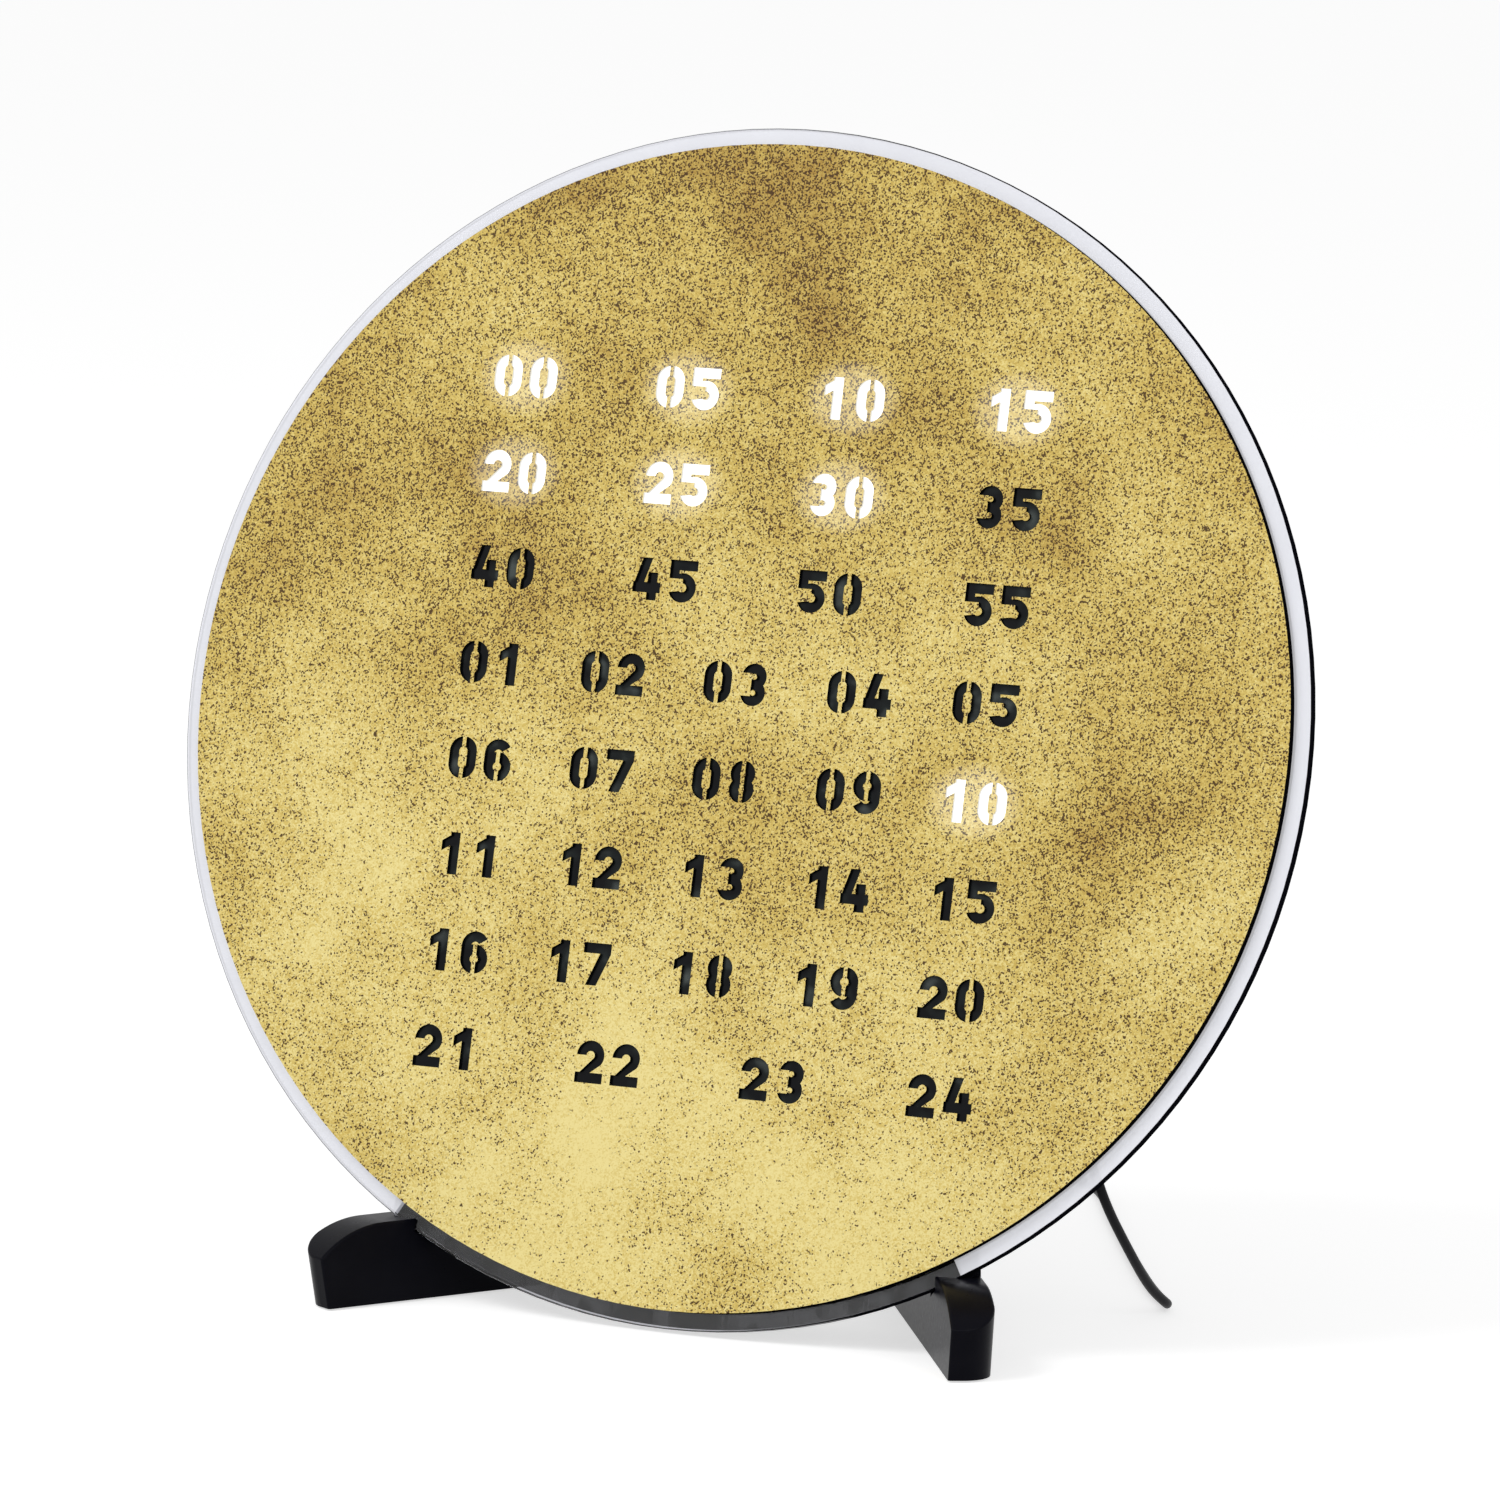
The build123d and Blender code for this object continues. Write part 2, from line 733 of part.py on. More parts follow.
# Housing frame and cover
def rear_frame():
    flange_r = STUD_R + FLANGE_MARGIN
    shell = rod(HOUSING_R, COVER_FRONT, CARRIER_BACK) + rod(flange_r, FLANGE_BACK, CARRIER_BACK)
    shell -= rod(HOUSING_INNER, COVER_FRONT, CARRIER_BACK)
    bosses = [
        rod(COVER_BOSS_D / 2, COVER_FRONT, COVER_FRONT + COVER_BOSS_LEN, at) for at in COVER_SCREW_PLACES
    ]
    pilots = [
        rod(COVER_SCREW_D / 2, COVER_FRONT, COVER_FRONT + COVER_SCREW_LEN, at) for at in COVER_SCREW_PLACES
    ]
    return shell + bosses - pilots - stud_holes(FLANGE_BACK, CARRIER_BACK)


def rear_cover():
    cover = rod(HOUSING_R, COVER_BACK, COVER_FRONT)
    cover = fillet(cover.edges().group_by(Axis.Z)[0], COVER_ROUND)
    head_seat = COVER_BACK + COVER_SINK
    cuts = [rod(COVER_SCREW_D / 2 + HOLE_CLEAR, COVER_BACK, COVER_FRONT, at) for at in COVER_SCREW_PLACES]
    cuts += [rod(COVER_HEAD_D / 2 + HOLE_CLEAR, COVER_BACK, head_seat, at) for at in COVER_SCREW_PLACES]
    vent = extrude(SlotOverall(VENT_LEN, VENT_W, rotation=90), amount=COVER_T)
    first = -(VENT_COUNT - 1) / 2 * VENT_PITCH
    cuts += [Pos(first + i * VENT_PITCH, VENT_V, COVER_BACK) * vent for i in range(VENT_COUNT)]
    for index in range(len(BUTTON_NAMES)):
        cuts.append(rod(BUTTON_R + BUTTON_CLEAR, COVER_BACK, COVER_FRONT, button_place(index)))
    cuts += door_opening()
    cuts.append(rod(BARREL_R + BUTTON_CLEAR, COVER_BACK, COVER_FRONT, SOCKET_PLACE))
    cuts.append(block(LABEL_W, LABEL_H, COVER_BACK, COVER_BACK + LABEL_DEPTH, (LABEL_U, LABEL_V)))
    return cover - cuts


def cover_screws():
    seat = COVER_BACK + COVER_SINK
    tip = COVER_FRONT + COVER_SCREW_LEN
    return group(
        pan_screw(COVER_SCREW_D, tip, seat, COVER_HEAD_D, COVER_HEAD_T, at) for at in COVER_SCREW_PLACES
    )


# Power socket and the angled plug behind the cover
SOCKET_BACK = COVER_FRONT + BUTTON_CLEAR
SOCKET_DEEP = CONTROL_BACK - SOCKET_FLOOR
PLUG_SEAT = COVER_BACK - PLUG_GAP


def power_socket():
    body = control_block(SOCKET_SIZE, SOCKET_SIZE, SOCKET_BACK, CONTROL_BACK, SOCKET_AT)
    return body - rod(BARREL_R + BARREL_CLEAR, SOCKET_BACK, SOCKET_DEEP, SOCKET_PLACE)


def plug_barrel():
    return rod(BARREL_R, PLUG_SEAT, SOCKET_DEEP - BARREL_END_GAP, SOCKET_PLACE)


def along_plug(distance):
    u, v = polar(distance, PLUG_TURN)
    return SOCKET_PLACE[0] + u, SOCKET_PLACE[1] + v, PLUG_LEVEL


def plug_plane(distance):
    u, v = polar(1.0, PLUG_TURN)
    return Plane(origin=along_plug(distance), z_dir=(u, v, 0))


def power_plug():
    body = plug_plane(-PLUG_BACK_LEN).location * Cylinder(PLUG_R, PLUG_BACK_LEN + PLUG_LEN, align=UP)
    body = fillet(body.edges().filter_by(GeomType.CIRCLE), PLUG_R * 0.3)
    relief = plug_plane(PLUG_LEN).location * Cone(RELIEF_R, RELIEF_TIP, RELIEF_LEN, align=UP)
    return body + relief + rod(PLUG_NECK_R, PLUG_LEVEL, PLUG_SEAT, SOCKET_PLACE)


# The lead: a free run to the coil, the coil's turns and a short tail to the plug
def tube_radii(points):
    radii = []
    for before, here, after in zip(points, points[1:], points[2:]):
        run_in = Vector(*here) - Vector(*before)
        run_out = Vector(*after) - Vector(*here)
        half_turn = math.radians(run_in.get_angle(run_out)) / 2
        radii.append(0.45 * min(run_in.length, run_out.length) / math.tan(half_turn))
    return radii


def cord_tube(points, name):
    radii = tube_radii(points)
    path = FilletPolyline(*points, radius=radii)
    place = Plane(origin=path @ 0, z_dir=path % 0)
    tube = sweep(place * Circle(CORD_D / 2), path=path)
    expected = math.pi * CORD_D ** 2 / 4 * path.length
    print(name, "length", round(path.length, 1), "volume ratio", round(tube.volume / expected, 4))
    print(name, "radii", [round(r, 1) for r in radii])
    return tube


COIL_PITCH = CORD_D + COIL_GAP
COIL_LOW = COIL_LIFT + CORD_D / 2
COIL_INNER_R = COIL_OUTER_R - COIL_PITCH * COIL_TURNS_IN


def coil_point(turn):
    if turn < COIL_TURNS_IN:
        radius = COIL_OUTER_R - COIL_PITCH * turn
    else:
        radius = COIL_INNER_R + COIL_PITCH * (turn - COIL_TURNS_IN)
    climb = min(max((turn - COIL_TURNS_IN + 0.25) / 0.5, 0.0), 1.0)
    height = COIL_LOW + COIL_PITCH * climb * climb * (3 - 2 * climb)
    x, y = polar(radius, COIL_START + 360.0 * turn)
    return Vector(COIL_AT[0] + x, COIL_AT[1] + y, height)


def coil_tangent(turn):
    step = 0.01
    total = COIL_TURNS_IN + COIL_TURNS_OUT
    ahead = coil_point(min(turn + step, total))
    behind = coil_point(max(turn - step, 0.0))
    return (ahead - behind).normalized()


def biarc(start, start_dir, end, end_dir):
    chord = end - start
    both = start_dir + end_dir
    a = 2 * (1 - start_dir.dot(end_dir))
    b = 2 * chord.dot(both)
    c = -chord.dot(chord)
    reach = (-b + math.sqrt(b * b - 4 * a * c)) / (2 * a)
    middle = (start + end + (start_dir - end_dir) * reach) * 0.5
    first = TangentArc(start, middle, tangent=start_dir)
    second = TangentArc(middle, end, tangent=first % 1)
    return [first, second]


COIL_TOTAL = COIL_TURNS_IN + COIL_TURNS_OUT
COIL_LEAD_IN = coil_point(0) - coil_tangent(0) * CORD_D
COIL_LEAD_OUT = coil_point(COIL_TOTAL) + coil_tangent(COIL_TOTAL) * CORD_D


def cord_coil():
    count = round(COIL_TOTAL * COIL_STEPS_PER_TURN)
    turns = [i / COIL_STEPS_PER_TURN for i in range(count + 1)]
    edges = [Line(COIL_LEAD_IN, coil_point(0))]
    for here, after in zip(turns, turns[1:]):
        edges += biarc(coil_point(here), coil_tangent(here), coil_point(after), coil_tangent(after))
    edges.append(Line(coil_point(COIL_TOTAL), COIL_LEAD_OUT))
    path = Wire(edges)
    place = Plane(origin=COIL_LEAD_IN, z_dir=coil_tangent(0))
    tube = sweep(place * Circle(CORD_D / 2), path=path)
    expected = math.pi * CORD_D ** 2 / 4 * path.length
    print("coil length", round(path.length, 1), "volume ratio", round(tube.volume / expected, 4))
    print("coil least gap", round(coil_least_gap(), 2))
    return tube


def coil_least_gap():
    per_turn = 48
    points = [coil_point(i / per_turn) for i in range(round(COIL_TOTAL * per_turn) + 1)]
    near = min(
        (points[i] - points[j]).length
        for i in range(len(points))
        for j in range(i + per_turn // 3, len(points))
    )
    return near - CORD_D


def coil_tie():
    inner_low = COIL_LIFT - TIE_CLEAR
    inner_high = COIL_LOW + COIL_PITCH + CORD_D / 2 + TIE_CLEAR
    near = math.sqrt((COIL_INNER_R - CORD_D / 2) ** 2 - TIE_W ** 2 / 4) - TIE_CLEAR
    far = COIL_OUTER_R + CORD_D / 2 + TIE_CLEAR
    middle = ((near + far) / 2, (inner_low + inner_high) / 2)
    hole = Pos(*middle) * RectangleRounded(far - near, inner_high - inner_low, CORD_D / 2)
    band = Pos(*middle) * RectangleRounded(
        far - near + 2 * TIE_T, inner_high - inner_low + 2 * TIE_T, CORD_D / 2 + TIE_T
    )
    u, v = polar(1.0, TIE_ANGLE)
    side = Plane(origin=(COIL_AT[0], COIL_AT[1], 0), x_dir=(u, v, 0), z_dir=(v, -u, 0))
    return extrude(side * (band - hole), amount=TIE_W / 2, both=True)


def as_points(vectors):
    return [(p.X, p.Y, p.Z) for p in vectors]


def cord_lead():
    start = world_point(*along_plug(PLUG_LEN + RELIEF_LEN))
    leave = world_point(*along_plug(PLUG_LEN + RELIEF_LEN + CORD_FIRST_RUN))
    arrive = COIL_LEAD_IN - coil_tangent(0) * CORD_LAST_RUN
    return cord_tube(as_points([start, leave]) + CORD_ROUTE + as_points([arrive, COIL_LEAD_IN]), "lead")


USB_REAR = Vector(USB_AT[0], USB_AT[1], USB_T / 2)


def cord_tail():
    leave = COIL_LEAD_OUT + coil_tangent(COIL_TOTAL) * TAIL_RUN
    arrive = USB_REAR + Vector(TAIL_RUN, 0, 0)
    return cord_tube(as_points([COIL_LEAD_OUT, leave, arrive, USB_REAR]), "tail")


def usb_plug():
    body = Pos(USB_REAR.X - USB_LEN / 2, USB_REAR.Y, USB_T / 2) * Box(USB_LEN, USB_W, USB_T)
    return fillet(body.edges().filter_by(Axis.X) + body.edges().filter_by(Axis.Z), USB_ROUND)


def usb_shell():
    front = USB_REAR.X - USB_LEN
    at = Pos(front - SHELL_LEN / 2, USB_REAR.Y, USB_T / 2)
    shell = at * Box(SHELL_LEN, SHELL_W, SHELL_T)
    mouth = Box(SHELL_LEN, SHELL_W - 2 * SHELL_WALL, SHELL_T - 2 * SHELL_WALL)
    return shell - at * Pos(-SHELL_WALL, 0, 0) * mouth


# Stand rail and feet
def stand_rail():
    wide = 2 * RAIL_R
    wedge = Polygon(
        (0, 0),
        polar(wide, -90 - RAIL_HALF_ANGLE),
        polar(wide, -90 + RAIL_HALF_ANGLE),
        align=None,
    )
    arc = (Circle(RAIL_R) - Circle(RAIL_R - RAIL_W)) & wedge
    rail = Pos(0, 0, RAIL_BACK) * extrude(arc, amount=RAIL_T)
    bottom = RAIL_BACK + FOOT_SCREW_GRIP
    holes = [rod(FOOT_SCREW_D / 2, RAIL_BACK, bottom, at) for at in foot_screw_places()]
    return rail - holes


def foot_screw_places():
    radius = RAIL_R - RAIL_W / 2
    return [polar(radius, -90 - FOOT_SCREW_ANGLE), polar(radius, -90 + FOOT_SCREW_ANGLE)]


SLOT_AT = world_point(*polar(CARRIER_R, -90 + FOOT_ANGLE), CARRIER_BACK)
SPLAY = (math.sin(math.radians(FOOT_SPLAY)), math.cos(math.radians(FOOT_SPLAY)))
FOOT_TOP = SLOT_AT.Z + FOOT_GRIP
FOOT_BASE = PAD_PROUD
EAR_SEAT = RAIL_BACK - FOOT_SLOT_CLEAR
HEAD_SEAT = EAR_SEAT - FOOT_SCREW_HOLD


def foot_side_plane():
    # Inner side of the right foot: local x runs back along the foot from the slot, local y is up.
    inner_x = SLOT_AT.X - FOOT_W / 2 * SPLAY[1]
    inner_y = SLOT_AT.Y - FOOT_W / 2 * SPLAY[0]
    return Plane(origin=(inner_x, inner_y, 0), x_dir=(-SPLAY[0], SPLAY[1], 0), z_dir=(SPLAY[1], SPLAY[0], 0))


def foot_prism():
    toe = -FOOT_TOE
    nose_end = toe - FOOT_OVERHANG + FOOT_NOSE
    top_end = EAR_LEN
    outline = [
        Line((FOOT_TAIL, FOOT_BASE), (toe, FOOT_BASE)),
        Line((toe, FOOT_BASE), (toe - FOOT_OVERHANG, FOOT_WALL_H)),
        TangentArc((nose_end, FOOT_TOP), (toe - FOOT_OVERHANG, FOOT_WALL_H), tangent=(-1, 0)),
        Line((nose_end, FOOT_TOP), (top_end, FOOT_TOP)),
        Line((top_end, FOOT_TOP), (FOOT_TAIL, FOOT_TAIL_H)),
        Line((FOOT_TAIL, FOOT_TAIL_H), (FOOT_TAIL, FOOT_BASE)),
    ]
    prism = extrude(foot_side_plane() * make_face(outline), amount=FOOT_W)
    uprights = prism.edges().filter_by(lambda e: abs((e % 0.5).Z) > 0.9)
    front = uprights.sort_by(Axis.Y)[:2].sort_by(Axis.X)
    prism = fillet(front[-1], FOOT_CORNER)
    across = foot_side_plane().z_dir
    upper = prism.edges().filter_by(lambda e: e.center().Z > FOOT_BASE + FOOT_EDGE)
    rims = upper.filter_by(lambda e: abs((e % 0.5).dot(across)) < 0.5)
    return fillet(rims, FOOT_EDGE)


def foot_ear():
    rise = SLOT_AT.Z + EAR_RISE
    shape = Polygon(
        (-EAR_LEN, FOOT_BASE),
        (EAR_BACK, FOOT_BASE),
        (EAR_BACK, FOOT_TOP - FOOT_GRIP),
        (EAR_LEN, rise),
        (-EAR_LEN, rise),
        align=None,
    )
    ear = extrude(foot_side_plane() * shape, amount=FOOT_W)
    ahead = to_world(rod(2 * CARRIER_R, EAR_SEAT, -EAR_SEAT + CARRIER_R))
    return ear - ahead


def dial_room():
    clear = FOOT_SLOT_CLEAR
    return [
        to_world(rod(CARRIER_R + clear, EAR_SEAT, FILM_BACK + clear)),
        to_world(rod(PLATE_R + clear, FILM_BACK, clear)),
    ]


def pad_blocks(top, spread):
    plane = foot_side_plane()
    blocks = []
    for along in (-FOOT_TOE + PAD_INSET + PAD_LEN / 2, FOOT_TAIL - PAD_INSET - PAD_LEN / 2):
        face = Pos(along, top / 2) * Rectangle(PAD_LEN + 2 * spread, top)
        start = (FOOT_W - PAD_W) / 2 - spread
        blocks.append(plane * (Pos(0, 0, start) * extrude(face, amount=PAD_W + 2 * spread)))
    return blocks


def right_foot():
    at = foot_screw_places()[1]
    head_room = rod(FOOT_HEAD_D / 2 + HOLE_CLEAR, HEAD_SEAT - EAR_BACK, HEAD_SEAT, at)
    shank_room = rod(FOOT_SCREW_D / 2 + HOLE_CLEAR, HEAD_SEAT, EAR_SEAT, at)
    foot = foot_prism() + foot_ear() - dial_room() - pad_blocks(PAD_T, PAD_CLEAR)
    return foot - to_world(head_room) - to_world(shank_room)


def foot_screws():
    tip = RAIL_BACK + FOOT_SCREW_GRIP
    return group(
        pan_screw(FOOT_SCREW_D, tip, HEAD_SEAT, FOOT_HEAD_D, FOOT_HEAD_T, at) for at in foot_screw_places()
    )


def foot_pads():
    right = pad_blocks(PAD_T, 0)
    return group(right + [mirror(pad, about=Plane.YZ) for pad in right])


def build():
    os.makedirs("parts", exist_ok=True)
    dial_pieces = {
        "front_plate": front_plate(),
        "smoked_film": smoked_film(),
        "carrier_disc": carrier_disc(),
        "plate_studs": plate_studs(),
        "stud_washers": stud_washers(),
        "stud_nuts": stud_nuts(),
        "light_grid": light_grid(),
        "led_board": led_board(),
        "leds": leds(),
        "board_screws": board_screws(),
        "controller_board": controller_board(),
        "controller_spacers": controller_spacers(),
        "controller_screws": controller_screws(),
        "board_connector": board_connector(),
        "main_chip": main_chip(),
        "clock_crystal": clock_crystal(),
        "coin_holder": coin_holder(),
        "coin_cell": coin_cell(),
        "battery_door": battery_door(),
        "push_switches": push_switches(),
        "rear_frame": rear_frame(),
        "rear_cover": rear_cover(),
        "cover_screws": cover_screws(),
        "power_socket": power_socket(),
        "plug_barrel": plug_barrel(),
        "power_plug": power_plug(),
        "stand_rail": stand_rail(),
        "foot_screws": foot_screws(),
    }
    for index, name in enumerate(BUTTON_NAMES):
        dial_pieces[f"button_{name}"] = button(index)
        dial_pieces[f"plunger_{name}"] = plunger(index)
    foot = right_foot()
    pieces = {node: to_world(shape) for node, shape in dial_pieces.items()}
    pieces["foot_right"] = foot
    pieces["foot_left"] = mirror(foot, about=Plane.YZ)
    pieces["foot_pads"] = foot_pads()
    boxes = [shape.bounding_box() for shape in pieces.values()]
    middle = (min(box.min.Y for box in boxes) + max(box.max.Y for box in boxes)) / 2
    pieces["cord_lead"] = cord_lead()
    pieces["cord_coil"] = cord_coil()
    pieces["cord_tail"] = cord_tail()
    pieces["coil_tie"] = coil_tie()
    pieces["usb_plug"] = usb_plug()
    pieces["usb_shell"] = usb_shell()
    for node, shape in pieces.items():
        save(Pos(0, -middle, 0) * shape, node)
    print("moved back by", round(-middle, 3))
    print("dial height", round(DIAL_HEIGHT, 2), "foot top", round(FOOT_TOP, 2))


build()
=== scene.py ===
import bpy
import json
import math
from mathutils import Matrix, Vector


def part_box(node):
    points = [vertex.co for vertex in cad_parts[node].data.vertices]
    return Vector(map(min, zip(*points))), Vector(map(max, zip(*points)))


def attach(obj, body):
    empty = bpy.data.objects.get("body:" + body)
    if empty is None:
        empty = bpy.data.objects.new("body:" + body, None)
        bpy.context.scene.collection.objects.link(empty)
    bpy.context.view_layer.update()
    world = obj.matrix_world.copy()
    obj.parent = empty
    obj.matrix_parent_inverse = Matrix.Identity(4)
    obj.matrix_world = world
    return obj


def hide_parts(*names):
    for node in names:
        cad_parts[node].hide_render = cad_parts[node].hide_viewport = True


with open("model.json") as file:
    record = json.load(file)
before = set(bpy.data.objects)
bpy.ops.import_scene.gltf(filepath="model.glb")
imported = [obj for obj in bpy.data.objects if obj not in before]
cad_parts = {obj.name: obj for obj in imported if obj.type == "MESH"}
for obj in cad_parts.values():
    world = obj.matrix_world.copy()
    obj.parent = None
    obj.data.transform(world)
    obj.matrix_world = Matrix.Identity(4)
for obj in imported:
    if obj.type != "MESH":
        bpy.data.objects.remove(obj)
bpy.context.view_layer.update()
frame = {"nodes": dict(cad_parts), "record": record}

NODES = frame["nodes"]
ROOT = "clock"

# The dial's own frame: u right, v up the dial, n out towards the reader
LEAN = math.radians(13.0)
U = Vector((1, 0, 0))
V = Vector((0, math.sin(LEAN), math.cos(LEAN)))
N = Vector((0, -math.cos(LEAN), math.sin(LEAN)))
CARRIER_MID = -0.0043
disc_low, disc_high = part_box("carrier_disc")
DIAL = (Vector(disc_low) + Vector(disc_high)) / 2 - N * CARRIER_MID
BENCH_Y = DIAL.y


def from_dial(u, v, n):
    return DIAL + U * u + V * v + N * n


# Layout of the numbers, in metres on the dial: rows of minutes first, then rows of hours
DIGIT_W = 0.0074
DIGIT_H = 0.0106
DIGIT_GAP = 0.0022
ROW_TOP = 0.0829
ROW_PITCH = 0.0242
ROW_SPAN = 0.1326
PLATE_R = 0.1455
NUMBER_HALF = (DIGIT_W + DIGIT_GAP / 2, DIGIT_H / 2)
MINUTES_PER_ROW = 4
HOURS_PER_ROW = 5
RAIL_SLOPE = math.tan(math.radians(30.5))

# Which numbers are lit, how far around them is lit, and how far their painted glow on the plate
# reaches
LIT_MINUTES = 7
LIT_HOUR_ROW = 4
LIT_HOUR_COLUMN = 4
LIT_REACH = 0.0012
GLOW_REACH = 0.0055
GLOW_CORE = 0.15


def number_at(row, column, count):
    return -ROW_SPAN / 2 + column * ROW_SPAN / (count - 1), ROW_TOP - row * ROW_PITCH


def lit_minute(index):
    return number_at(index // MINUTES_PER_ROW, index % MINUTES_PER_ROW, MINUTES_PER_ROW)


LIT = [lit_minute(index) for index in range(LIT_MINUTES)]
LIT.append(number_at(LIT_HOUR_ROW, LIT_HOUR_COLUMN, HOURS_PER_ROW))


# Camera, fitted to the plate's outline
CAMERA_AT = (0.82370, -0.16704, 1.98389)
CAMERA_RIGHT = (0.92151765, 0.11674067, -0.37037392)
CAMERA_DOWN = (0.07988622, -0.99033404, -0.11338729)
CAMERA_AHEAD = (-0.38003081, 0.07490062, -0.92193627)
CAMERA_LENS = 209.14
SENSOR_W = 36.0
CLIP_NEAR = 0.05
CLIP_FAR = 100.0


def dial_direction(t):
    return (U * t[0] + V * t[1] + N * t[2]).normalized()


def make_camera():
    data = bpy.data.cameras.new("camera")
    data.sensor_width = SENSOR_W
    data.lens = CAMERA_LENS
    data.clip_start = CLIP_NEAR
    data.clip_end = CLIP_FAR
    cam = bpy.data.objects.new("camera", data)
    bpy.context.scene.collection.objects.link(cam)
    right = dial_direction(CAMERA_RIGHT)
    up = -dial_direction(CAMERA_DOWN)
    back = -dial_direction(CAMERA_AHEAD)
    at = from_dial(*CAMERA_AT)
    cam.matrix_world = Matrix(
        (
            (right.x, up.x, back.x, at.x),
            (right.y, up.y, back.y, at.y),
            (right.z, up.z, back.z, at.z),
            (0, 0, 0, 1),
        )
    )
    bpy.context.scene.camera = cam


# The mix node's colour sockets
MIX_A = 6
MIX_B = 7
MIX_RESULT = 2


def is_socket(value):
    return hasattr(value, "is_linked")


def opaque(colour):
    return (*colour, 1)


# A material and the nodes that feed its shader
class Graph:
    def __init__(self, name):
        self.material = bpy.data.materials.new(name)
        self.material.use_nodes = True
        self.tree = self.material.node_tree
        self.bsdf = self.tree.nodes["Principled BSDF"]

    def node(self, kind, **settings):
        made = self.tree.nodes.new(kind)
        for key, value in settings.items():
            setattr(made, key, value)
        return made

    def link(self, source, target):
        self.tree.links.new(source, target)

    def feed(self, socket, value):
        if is_socket(value):
            self.link(value, socket)
        else:
            socket.default_value = value

    def set(self, **values):
        for key, value in values.items():
            self.feed(self.bsdf.inputs[key.replace("_", " ")], value)

    def math(self, operation, a, b=None, c=None, clamp=False):
        made = self.node("ShaderNodeMath", operation=operation, use_clamp=clamp)
        for index, value in enumerate((a, b, c)):
            if value is not None:
                self.feed(made.inputs[index], value)
        return made.outputs[0]

    def place(self):
        return self.node("ShaderNodeTexCoord").outputs["Object"]

    def dial_place(self):
        turn = LEAN - math.pi / 2
        mapping = self.node("ShaderNodeMapping", vector_type="POINT")
        mapping.inputs["Rotation"].default_value = (turn, 0, 0)
        offset = Matrix.Rotation(turn, 3, "X") @ DIAL
        mapping.inputs["Location"].default_value = -offset
        self.link(self.place(), mapping.inputs["Vector"])
        split = self.node("ShaderNodeSeparateXYZ")
        self.link(mapping.outputs[0], split.inputs[0])
        return mapping.outputs[0], split.outputs

    def radius(self, uv):
        across = self.math("MULTIPLY", uv[0], uv[0])
        return self.math("SQRT", self.math("MULTIPLY_ADD", uv[1], uv[1], across))

    def noise(self, where, scale, detail=2.0, rough=0.5):
        made = self.node("ShaderNodeTexNoise")
        self.link(where, made.inputs["Vector"])
        made.inputs["Scale"].default_value = scale
        made.inputs["Detail"].default_value = detail
        made.inputs["Roughness"].default_value = rough
        return made.outputs["Fac"]

    def cells(self, where, scale):
        made = self.node("ShaderNodeTexVoronoi")
        self.link(where, made.inputs["Vector"])
        made.inputs["Scale"].default_value = scale
        split = self.node("ShaderNodeSeparateColor")
        self.link(made.outputs["Color"], split.inputs[0])
        return split.outputs[0], split.outputs[1]

    def ramp(self, value, stops):
        made = self.node("ShaderNodeValToRGB")
        self.feed(made.inputs[0], value)
        elements = made.color_ramp.elements
        while len(elements) < len(stops):
            elements.new(0.5)
        for element, (at, shade) in zip(elements, stops):
            element.position = at
            element.color = opaque(shade)
        return made.outputs[0]

    def step(self, value, low, high):
        made = self.node("ShaderNodeMapRange", interpolation_type="SMOOTHSTEP")
        self.feed(made.inputs["Value"], value)
        made.inputs["From Min"].default_value = low
        made.inputs["From Max"].default_value = high
        return made.outputs[0]

    def mix(self, factor, a, b):
        made = self.node("ShaderNodeMix", data_type="RGBA")
        self.feed(made.inputs["Factor"], factor)
        for index, value in ((MIX_A, a), (MIX_B, b)):
            self.feed(made.inputs[index], value if is_socket(value) else opaque(value))
        return made.outputs[MIX_RESULT]

    def bump(self, height, strength, distance):
        made = self.node("ShaderNodeBump")
        made.inputs["Strength"].default_value = strength
        made.inputs["Distance"].default_value = distance
        self.link(height, made.inputs["Height"])
        self.link(made.outputs[0], self.bsdf.inputs["Normal"])

    def facing(self, axis):
        geometry = self.node("ShaderNodeNewGeometry")
        dot = self.node("ShaderNodeVectorMath", operation="DOT_PRODUCT")
        self.link(geometry.outputs["True Normal"], dot.inputs[0])
        dot.inputs[1].default_value = axis
        return dot.outputs["Value"]

    def box_distance(self, uv, centre, half):
        gaps = []
        for axis in range(2):
            off = self.math("ABSOLUTE", self.math("SUBTRACT", uv[axis], centre[axis]))
            gaps.append(self.math("MAXIMUM", self.math("SUBTRACT", off, half[axis]), 0.0))
        return self.radius(gaps)

    def least(self, values):
        nearest = values[0]
        for value in values[1:]:
            nearest = self.math("MINIMUM", nearest, value)
        return nearest

    def is_lit(self, uv):
        nearest = self.least([self.box_distance(uv, centre, NUMBER_HALF) for centre in LIT])
        return self.math("LESS_THAN", nearest, LIT_REACH)

    def oval(self, uv, centre):
        squares = []
        for axis in range(2):
            reach = self.math("SUBTRACT", uv[axis], centre[axis])
            reach = self.math("DIVIDE", reach, NUMBER_HALF[axis] + GLOW_REACH)
            squares.append(self.math("MULTIPLY", reach, reach))
        return self.math("ADD", squares[0], squares[1])

    def lit_glow(self, uv):
        nearest = self.least([self.oval(uv, centre) for centre in LIT])
        return self.step(nearest, 1.0, GLOW_CORE)
